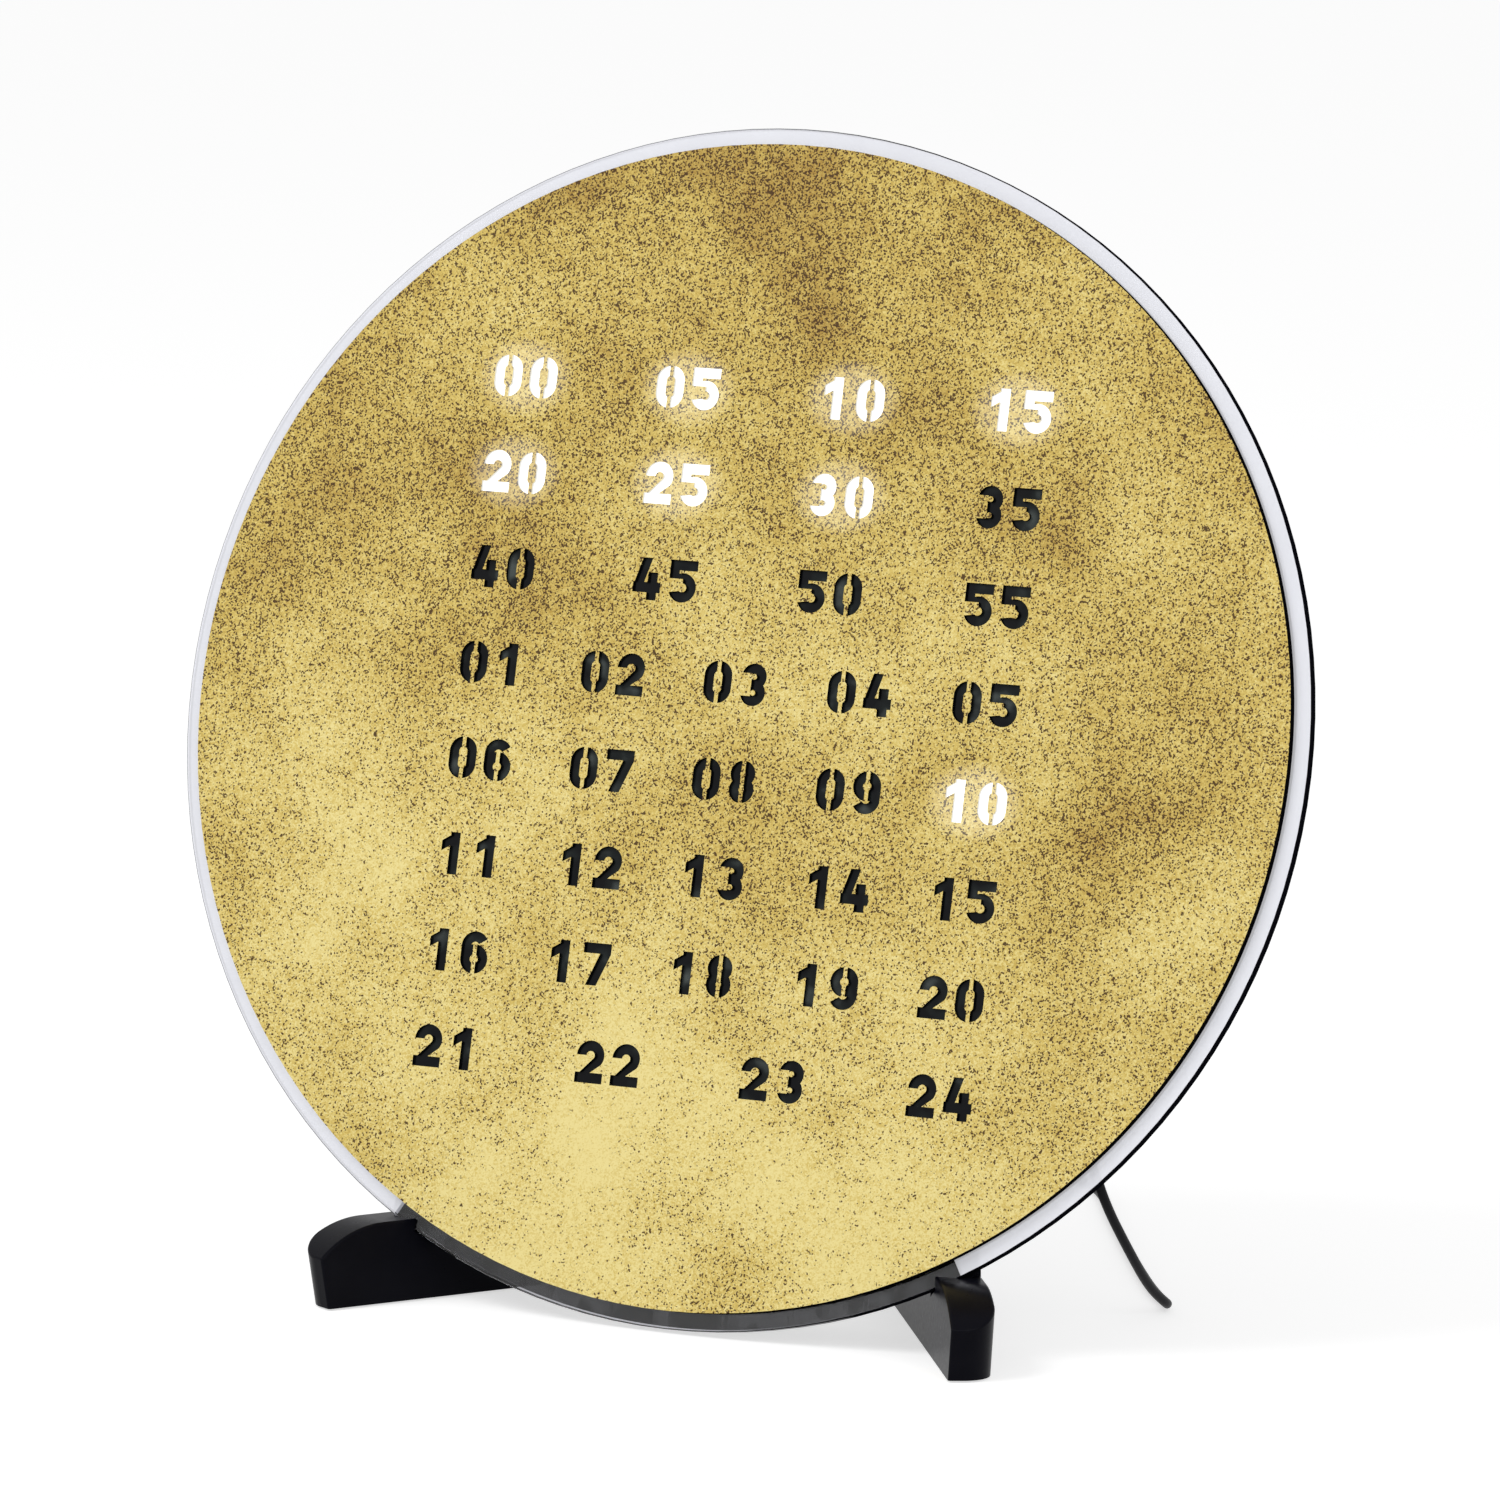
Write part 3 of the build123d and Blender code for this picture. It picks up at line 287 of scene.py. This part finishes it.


# Gold plate: scales are counts to the metre. A browning value follows random clouds and grows
# up the dial and towards the edge;
# where it is strong it turns the ground brown, and dark specks crowd where it is strong or the
# clusters are dense.
GRAIN_SCALE = 2600.0
CLUSTER_SCALE = 420.0
CLOUD_SCALE = 14.0
BROWNING_GAIN = 3.2
BROWNING_BASE = -1.14
BROWNING_UP = 0.52
BROWNING_EDGE = 0.14
BROWNING_EDGE_R = 0.80 * PLATE_R
TONE_BASE = -0.20
TONE_BROWNING = 0.36
TONE_GRAIN = 0.40
TONE_CLUSTER = 0.42
GOLD_GROUND = [
    (0.08, (0.85, 0.72, 0.30)),
    (0.40, (0.67, 0.505, 0.135)),
    (0.72, (0.48, 0.325, 0.066)),
    (1.00, (0.29, 0.160, 0.025)),
]
DEEP_BROWN = (0.33, 0.18, 0.04)
DEEP_BROWN_FROM = 0.75
DEEP_BROWN_FULL = 1.35
DEEP_BROWN_DEPTH = 0.4
SPECK = (0.052, 0.020, 0.004)
SPECK_BROWNING = 0.26
SPECK_CLUSTER = 0.55
SPECK_FROM = 1.16
SPECK_FULL = 1.24
SPECK_DEPTH = 0.95
# Painted shade: near black for the plate's walls
CUT_WALL_SHADE = (0.004, 0.004, 0.004)
WALL_SQUARE = 0.5
PLATE_SPECULAR = 0.2
# Painted glow: how strongly the plate's face round the lit numbers emits
SPILL = 0.16
# Painted light: how strongly the cut walls of the lit numbers emit
LIT_WALL = 0.85


def gold_plate():
    g = Graph("plate_gold")
    where, uvn = g.dial_place()
    grain, speck = g.cells(where, GRAIN_SCALE)
    cluster = g.noise(where, CLUSTER_SCALE, 4.0, 0.75)
    cloud = g.noise(where, CLOUD_SCALE, 5.0, 0.62)
    browning = g.math("MULTIPLY_ADD", cloud, BROWNING_GAIN, BROWNING_BASE)
    browning = g.math("MULTIPLY_ADD", uvn[1], BROWNING_UP / PLATE_R, browning)
    edge = g.step(g.radius(uvn), BROWNING_EDGE_R, PLATE_R)
    browning = g.math("MULTIPLY_ADD", edge, BROWNING_EDGE, browning)

    tone = g.math("MULTIPLY_ADD", browning, TONE_BROWNING, TONE_BASE)
    tone = g.math("MULTIPLY_ADD", grain, TONE_GRAIN, tone)
    tone = g.math("MULTIPLY_ADD", cluster, TONE_CLUSTER, tone)
    brown = g.math("MULTIPLY", g.step(browning, DEEP_BROWN_FROM, DEEP_BROWN_FULL), DEEP_BROWN_DEPTH)
    browned = g.mix(brown, g.ramp(tone, GOLD_GROUND), DEEP_BROWN)

    dots = g.math("MULTIPLY_ADD", browning, SPECK_BROWNING, speck)
    dots = g.math("MULTIPLY_ADD", cluster, SPECK_CLUSTER, dots)
    dots = g.math("MULTIPLY", g.step(dots, SPECK_FROM, SPECK_FULL), SPECK_DEPTH)
    face = g.mix(dots, browned, SPECK)

    # The plate's walls, in its cuts and round its rim; painted shade colours them near black
    wall = g.math("LESS_THAN", g.math("ABSOLUTE", g.facing(N)), WALL_SQUARE)
    front = g.math("GREATER_THAN", g.facing(N), WALL_SQUARE)
    # Painted glow: the plate's face emits a soft halo round the lit numbers
    spill = g.math("MULTIPLY", g.lit_glow(uvn), front)
    # Painted light: the cut walls of the lit numbers emit, for the light that falls on them
    # from behind
    bright = g.math("MULTIPLY", g.math("MULTIPLY", wall, g.is_lit(uvn)), LIT_WALL)
    g.set(
        Base_Color=g.mix(wall, face, CUT_WALL_SHADE),
        Specular_IOR_Level=g.math("MULTIPLY_ADD", wall, -PLATE_SPECULAR, PLATE_SPECULAR),
        Roughness=0.55,
        Emission_Color=(1.0, 0.98, 0.90, 1),
        Emission_Strength=g.math("MULTIPLY_ADD", spill, SPILL, bright),
    )
    g.bump(grain, 0.25, 0.0002)
    return g.material


# Dark film: painted highlights as faint paler streaks, and white light behind the lit numbers
FILM_SHEEN_STREAKS = [
    (0.45, (0.0025, 0.003, 0.004)),
    (0.58, (0.010, 0.013, 0.013)),
    (0.74, (0.070, 0.082, 0.078)),
]
SHEEN_STREAK_SCALE = 130.0
RIPPLE_SCALE = 240.0
LIT_LEVEL = 1.6


def dark_film():
    g = Graph("film_black")
    where, uvn = g.dial_place()
    g.set(
        # Painted highlights: faint paler streaks on the dark film
        Base_Color=g.ramp(g.noise(where, SHEEN_STREAK_SCALE), FILM_SHEEN_STREAKS),
        Emission_Color=(1.0, 0.995, 0.97, 1),
        Emission_Strength=g.math("MULTIPLY", g.is_lit(uvn), LIT_LEVEL),
        Roughness=0.22,
        Specular_IOR_Level=0.12,
    )
    g.bump(g.noise(where, RIPPLE_SCALE, 1.0), 0.12, 0.0006)
    return g.material


# Clear disc: its bared rim is pale, with a painted glow that evens out its shading, and it is
# clear over the rail.
# Painted shade makes it near black under the plate, greys its chamfer, and turns its side wall
# dark on the right and pale on the left.
RIM_LILAC = [(0.3, (0.590, 0.594, 0.632)), (0.7, (0.615, 0.619, 0.655))]
RIM_MARKS_SCALE = 90.0
# Painted shade: a grey line on the chamfer
CHAMFER_PAINTED_SHADE = (0.10, 0.10, 0.11)
CHAMFER_SHADE_DEPTH = 0.8
# Painted shade: near black for the disc under the plate and for its right-hand side wall
DISC_PAINTED_SHADE = (0.004, 0.004, 0.006)
FACE_SQUARE = 0.9
CHAMFER_SQUARE = 0.3
# Painted shading of the side wall: dark above the first value of u, pale below the second
WALL_SHADE_DARK_U = 0.05
WALL_SHADE_PALE_U = -0.03
RIM_CLEAR = 0.35
RIM_SPECULAR = 0.4
# Painted glow on the pale rim, which evens out its shading
RIM_PAINTED_GLOW = 0.30
ACRYLIC_IOR = 1.49


def clear_acrylic():
    g = Graph("clear_acrylic")
    where, uvn = g.dial_place()
    square_on = g.math("ABSOLUTE", g.facing(N))
    face = g.math("GREATER_THAN", square_on, FACE_SQUARE)
    chamfer = g.math("SUBTRACT", g.math("GREATER_THAN", square_on, CHAMFER_SQUARE), face)
    bared = g.math("GREATER_THAN", g.radius(uvn), PLATE_R)
    # Painted shading: the side wall is pale on the left and near black on the right
    painted_pale_side = g.step(uvn[0], WALL_SHADE_DARK_U, WALL_SHADE_PALE_U)
    painted_pale_wall = g.math("MULTIPLY", painted_pale_side, g.math("SUBTRACT", 1.0, face))
    pale = g.math("MULTIPLY_ADD", face, bared, painted_pale_wall)
    sideways = g.math("ABSOLUTE", uvn[0])
    over_rail = g.math("LESS_THAN", g.math("MULTIPLY_ADD", uvn[1], RAIL_SLOPE, sideways), 0.0)

    lilac = g.ramp(g.noise(where, RIM_MARKS_SCALE, 3.0), RIM_LILAC)
    # Painted shade: the chamfer is greyed
    lilac = g.mix(g.math("MULTIPLY", chamfer, CHAMFER_SHADE_DEPTH), lilac, CHAMFER_PAINTED_SHADE)
    see_through = g.math("MULTIPLY_ADD", over_rail, 1.0 - RIM_CLEAR, RIM_CLEAR)
    # Painted glow: the bared rim and the pale left wall emit, except over the rail and on the
    # chamfer
    rim_painted_glow = g.math("SUBTRACT", g.math("SUBTRACT", pale, chamfer), over_rail, clamp=True)
    g.set(
        # Painted shade: near black wherever the disc is not pale
        Base_Color=g.mix(pale, DISC_PAINTED_SHADE, lilac),
        Transmission_Weight=g.math("MULTIPLY", pale, see_through),
        Specular_IOR_Level=g.math("MULTIPLY", pale, RIM_SPECULAR),
        Emission_Color=(0.80, 0.81, 0.85, 1),
        Emission_Strength=g.math("MULTIPLY", rim_painted_glow, RIM_PAINTED_GLOW),
        Roughness=0.05,
        IOR=ACRYLIC_IOR,
    )
    return g.material


# Smoked rail: its dark tint is painted shade for the shaded table behind the disc, with painted
# shading darker on the left than on the right
RAIL_SHADING = [(0.0, (0.06, 0.06, 0.058)), (1.0, (0.12, 0.12, 0.117))]
SMOKE_SCALE = 60.0
SMOKE_WANDER = 0.03
RAIL_SHADE_DARK_U = -0.07
RAIL_SHADE_PALE_U = 0.09


def smoke_acrylic():
    g = Graph("smoke_acrylic")
    where, uvn = g.dial_place()
    shade_along = g.math("MULTIPLY_ADD", g.noise(where, SMOKE_SCALE), SMOKE_WANDER, uvn[0])
    g.set(
        # Painted shading: darker on the left, paler on the right
        Base_Color=g.ramp(g.step(shade_along, RAIL_SHADE_DARK_U, RAIL_SHADE_PALE_U), RAIL_SHADING),
        Roughness=0.4,
        Alpha=0.86,
        Specular_IOR_Level=0.1,
    )
    return g.material


# Moulded plastic and rubber: a broad tint and a fine grain
TINT_LOW = 0.3
TINT_HIGH = 0.7
BROADER = 12.0
MOULD_SPREAD = 0.12


def moulded(name, low, high, scale, roughness, depth, specular=0.5):
    g = Graph(name)
    where = g.place()
    broad = g.noise(where, scale / BROADER, 3.0)
    grain = g.noise(where, scale, 2.0, 0.6)
    g.set(
        Base_Color=g.ramp(broad, [(TINT_LOW, low), (TINT_HIGH, high)]),
        Roughness=g.math("MULTIPLY_ADD", grain, MOULD_SPREAD, roughness - MOULD_SPREAD / 2),
        Specular_IOR_Level=specular,
    )
    g.bump(grain, 0.35, depth)
    return g.material


# Plated metal, rubbed unevenly
RUB_SPREAD = 0.2


def metal(name, low, high, roughness, scale=900.0):
    g = Graph(name)
    rub = g.noise(g.place(), scale, 3.0, 0.7)
    g.set(
        Base_Color=g.ramp(rub, [(TINT_LOW, low), (TINT_HIGH, high)]),
        Roughness=g.math("MULTIPLY_ADD", rub, RUB_SPREAD, roughness - RUB_SPREAD / 2),
        Metallic=1.0,
    )
    g.bump(rub, 0.1, 0.00005)
    return g.material


# Circuit board: green lacquer with paler tracks
TRACK_SCALE = 90.0
TRACK_W = 0.012
LACQUER = (0.02, 0.13, 0.055)
LACQUER_PALER = (0.025, 0.16, 0.065)
TRACK = (0.05, 0.24, 0.10)


def circuit_board():
    g = Graph("board_green")
    tracks = g.node("ShaderNodeTexBrick")
    g.link(g.dial_place()[0], tracks.inputs["Vector"])
    tracks.inputs["Scale"].default_value = TRACK_SCALE
    tracks.inputs["Mortar Size"].default_value = TRACK_W
    tracks.inputs["Color1"].default_value = opaque(LACQUER)
    tracks.inputs["Color2"].default_value = opaque(LACQUER_PALER)
    tracks.inputs["Mortar"].default_value = opaque(TRACK)
    g.set(Base_Color=tracks.outputs["Color"], Roughness=0.35)
    g.bump(tracks.outputs["Fac"], 0.2, 0.00003)
    return g.material


# Woven tie: slanting bands
WEAVE_SCALE = 500.0
WEAVE_SHADE = 0.4


def woven(name, colour):
    g = Graph(name)
    wave = g.node("ShaderNodeTexWave", wave_type="BANDS", bands_direction="DIAGONAL")
    g.link(g.place(), wave.inputs["Vector"])
    wave.inputs["Scale"].default_value = WEAVE_SCALE
    darker = tuple(c * WEAVE_SHADE for c in colour)
    g.set(Base_Color=g.ramp(wave.outputs["Fac"], [(0.2, darker), (0.8, colour)]), Roughness=0.9)
    g.bump(wave.outputs["Fac"], 0.5, 0.0001)
    return g.material


# Plastics: low and high tint, grain scale, roughness, grain depth and specular level
MOULDED = {
    "foot_black": ((0.002, 0.002, 0.004), (0.004, 0.004, 0.007), 900.0, 0.30, 0.00003, 0.04),
    "pad_rubber": ((0.02, 0.02, 0.02), (0.035, 0.035, 0.035), 1200.0, 0.8, 0.0001),
    "housing_black": ((0.016, 0.016, 0.018), (0.024, 0.024, 0.027), 1500.0, 0.55, 0.00012),
    "grid_white": ((0.72, 0.72, 0.70), (0.80, 0.80, 0.78), 900.0, 0.6, 0.00005),
    "led_white": ((0.80, 0.76, 0.55), (0.88, 0.85, 0.68), 500.0, 0.3, 0.00003),
    "parts_black": ((0.012, 0.012, 0.012), (0.022, 0.022, 0.022), 1100.0, 0.42, 0.00005),
    "cord_black": ((0.003, 0.003, 0.004), (0.006, 0.006, 0.008), 700.0, 0.45, 0.00004, 0.10),
}

# Metals: low and high tint, roughness and, where it is coarse, the rub's scale
METALS = {
    "fastener_steel": ((0.42, 0.42, 0.43), (0.62, 0.62, 0.63), 0.32),
    "crystal_can": ((0.62, 0.62, 0.63), (0.74, 0.74, 0.75), 0.3),
    "cell_steel": ((0.55, 0.55, 0.55), (0.68, 0.68, 0.68), 0.3, 300.0),
    "barrel_nickel": ((0.66, 0.65, 0.62), (0.76, 0.75, 0.72), 0.18),
}

FINISH = {
    "plate_gold": gold_plate(),
    "film_black": dark_film(),
    "clear_acrylic": clear_acrylic(),
    "smoke_acrylic": smoke_acrylic(),
    "board_green": circuit_board(),
    "tie_black": woven("tie_black", (0.03, 0.03, 0.032)),
}
FINISH.update({name: moulded(name, *look) for name, look in MOULDED.items()})
FINISH.update({name: metal(name, *look) for name, look in METALS.items()})


def dress_nodes():
    for entry in frame["record"]["subparts"]:
        mesh = NODES[entry["node"]].data
        mesh.materials.clear()
        mesh.materials.append(FINISH[entry["material_slot"]])


# The lead, in millimetres: one smooth line through its free run, its coil and its tail
MM = 0.001
CORD_D = 2.5
PLUG_EXIT = (89.3826, 19.598, 59.4779)
PLUG_LEAVE = (91.1190, 17.383, 49.8822)
CORD_ROUTE = [
    (95.0, 17.3, 38.6),
    (96.1, 22.8, 31.0),
    (97.0, 29.8, 23.8),
    (97.6, 36.9, 17.3),
    (97.8, 44.0, 11.6),
    (98.2, 51.5, 6.4),
    (99.6, 60.5, 1.25),
    (89.4, 76.0, 1.25),
    (73.0, 107.6, 1.25),
    (56.8, 140.4, 1.25),
    (42.0, 170.9, 1.25),
    (27.0, 203.4, 1.25),
    (13.5, 216.5, 1.3),
    (-4.5, 222.8, 1.8),
]
COIL_AT = (-41.0, 204.6)
COIL_START = 90.0
COIL_OUTER_R = 21.0
COIL_PITCH = 2.95
COIL_LOW = 2.15
COIL_TURNS_IN = 4.25
COIL_INNER_R = COIL_OUTER_R - COIL_PITCH * COIL_TURNS_IN
COIL_TOTAL = 8.0
COIL_STEPS = 16
CLIMB_TURNS = 0.5
TAIL_SPREAD = 0.2
USB_REAR = (-72.0, 220.6, 4.0)
USB_RUN = 8.0


def bench_point(point):
    return point[0] * MM, point[1] * MM + BENCH_Y, point[2] * MM


def coil_point(turn):
    radius = COIL_OUTER_R - COIL_PITCH * turn
    if turn > COIL_TURNS_IN:
        radius = COIL_INNER_R + COIL_PITCH * (turn - COIL_TURNS_IN)
    climb = min(max((turn - COIL_TURNS_IN) / CLIMB_TURNS + 0.5, 0.0), 1.0)
    angle = math.radians(COIL_START + 360.0 * turn)
    height = COIL_LOW + COIL_PITCH * climb * climb * (3 - 2 * climb)
    return COIL_AT[0] + radius * math.cos(angle), COIL_AT[1] + radius * math.sin(angle), height


def cord_points():
    turns = [coil_point(i / COIL_STEPS) for i in range(round(COIL_TOTAL * COIL_STEPS) + 1)]
    x, y, z = turns[-1]
    leave_coil = (x - USB_RUN, y + TAIL_SPREAD, z)
    reach_plug = (USB_REAR[0] + USB_RUN, USB_REAR[1], USB_REAR[2])
    return [PLUG_EXIT, PLUG_LEAVE, *CORD_ROUTE, *turns, leave_coil, reach_plug, USB_REAR]


def make_cord():
    data = bpy.data.curves.new("power_cord", "CURVE")
    data.dimensions = "3D"
    data.bevel_depth = CORD_D / 2 * MM
    data.bevel_resolution = 5
    data.resolution_u = 6
    data.use_fill_caps = True
    points = cord_points()
    spline = data.splines.new("NURBS")
    spline.points.add(len(points) - 1)
    for knot, point in zip(spline.points, points):
        knot.co = (*bench_point(point), 1.0)
    spline.order_u = 3
    spline.use_endpoint_u = True
    cord = bpy.data.objects.new("power_cord", data)
    bpy.context.scene.collection.objects.link(cord)
    data.materials.append(FINISH["cord_black"])
    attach(cord, ROOT)
    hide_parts("cord_lead", "cord_coil", "cord_tail")


# Stage: floor, world and lamps
FLOOR_HALF = 20.0
FLOOR_SHADE = (0.62, 0.62, 0.62)
FLOOR_GLOW = 0.62
WORLD_FILL = 0.55
LAMP_AIM = (0, 0, 0.14)


def background_ray(tree):
    path = tree.nodes.new("ShaderNodeLightPath")
    total = path.outputs["Is Camera Ray"]
    for name in ("Is Glossy Ray", "Is Transmission Ray"):
        either = tree.nodes.new("ShaderNodeMath")
        either.operation = "MAXIMUM"
        tree.links.new(total, either.inputs[0])
        tree.links.new(path.outputs[name], either.inputs[1])
        total = either.outputs[0]
    return total


def floor_material():
    material = bpy.data.materials.new("floor_pale")
    material.use_nodes = True
    tree = material.node_tree
    tree.nodes.clear()
    diffuse = tree.nodes.new("ShaderNodeBsdfDiffuse")
    diffuse.inputs["Color"].default_value = opaque(FLOOR_SHADE)
    scale = tree.nodes.new("ShaderNodeMath")
    scale.operation = "MULTIPLY"
    tree.links.new(background_ray(tree), scale.inputs[0])
    scale.inputs[1].default_value = FLOOR_GLOW
    glow = tree.nodes.new("ShaderNodeEmission")
    tree.links.new(scale.outputs[0], glow.inputs["Strength"])
    add = tree.nodes.new("ShaderNodeAddShader")
    tree.links.new(diffuse.outputs[0], add.inputs[0])
    tree.links.new(glow.outputs[0], add.inputs[1])
    output = tree.nodes.new("ShaderNodeOutputMaterial")
    tree.links.new(add.outputs[0], output.inputs["Surface"])
    return material


def make_floor():
    mesh = bpy.data.meshes.new("floor")
    h = FLOOR_HALF
    mesh.from_pydata([(-h, -h, 0), (h, -h, 0), (h, h, 0), (-h, h, 0)], [], [(0, 1, 2, 3)])
    mesh.materials.append(floor_material())
    floor = bpy.data.objects.new("floor", mesh)
    bpy.context.scene.collection.objects.link(floor)


def make_world():
    world = bpy.data.worlds.new("studio")
    bpy.context.scene.world = world
    world.use_nodes = True
    tree = world.node_tree
    shade = tree.nodes["Background"]
    shade.inputs["Color"].default_value = (1, 1, 1, 1)
    level = tree.nodes.new("ShaderNodeMapRange")
    tree.links.new(background_ray(tree), level.inputs["Value"])
    level.inputs["To Min"].default_value = WORLD_FILL
    level.inputs["To Max"].default_value = 1.0
    tree.links.new(level.outputs[0], shade.inputs["Strength"])


def area_lamp(name, at, size, power):
    data = bpy.data.lights.new(name, "AREA")
    data.shape = "DISK"
    data.size = size
    data.energy = power
    lamp = bpy.data.objects.new(name, data)
    bpy.context.scene.collection.objects.link(lamp)
    lamp.location = at
    lamp.rotation_euler = (Vector(LAMP_AIM) - Vector(at)).to_track_quat("-Z", "Y").to_euler()


def make_lights():
    area_lamp("key", at=(-0.9, -1.5, 1.7), size=1.2, power=24.0)
    area_lamp("fill", at=(1.4, -1.2, 1.0), size=1.4, power=9.0)


make_camera()
dress_nodes()
make_cord()
make_floor()
make_world()
make_lights()
bpy.context.scene.view_settings.view_transform = "Standard"
